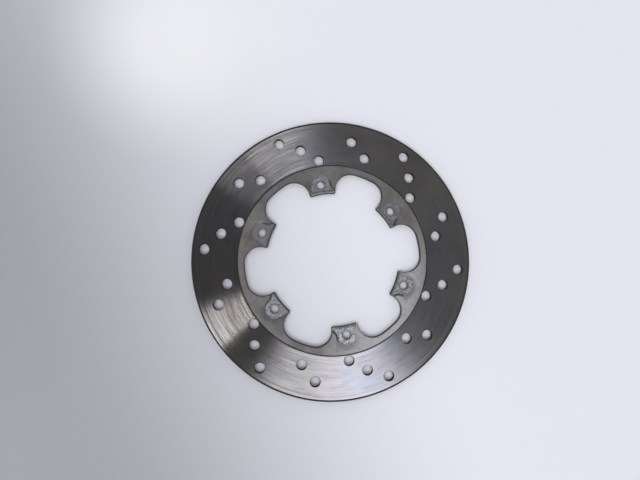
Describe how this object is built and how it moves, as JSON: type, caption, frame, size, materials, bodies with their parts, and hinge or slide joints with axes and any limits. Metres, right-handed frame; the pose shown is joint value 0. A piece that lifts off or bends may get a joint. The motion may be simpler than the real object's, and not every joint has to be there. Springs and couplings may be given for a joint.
{
  "type": "brake disc rotor",
  "caption": "Flat drilled brake disc: a friction ring around a scalloped carrier, whose inward ears each hold a bolt seat for fixing the disc to a scooter wheel's hub.",
  "frame": {"origin": "centre of the hub face (the back face), on the axle's axis", "axes": "+Z along the axle, from the hub face to the outer face; +Y through bolt hole 1"},
  "size_m": [0.22, 0.22, 0.004],
  "materials": {
    "ground_steel": "pad-worn ground steel, dark grey, with fine circular scratches",
    "coated_steel": "warm grey-brown matt coating, slightly yellowed towards the seam",
    "machined_steel": "bright, slightly pitted, with a worn ring from the bolt head"
  },
  "bodies": {
    "root": {"friction_ring": "ground_steel", "carrier": "coated_steel", "bolt_seat_1": "machined_steel", "bolt_seat_2": "machined_steel", "bolt_seat_3": "machined_steel", "bolt_seat_4": "machined_steel", "bolt_seat_5": "machined_steel", "bolt_seat_6": "machined_steel"}
  },
  "joints": []
}
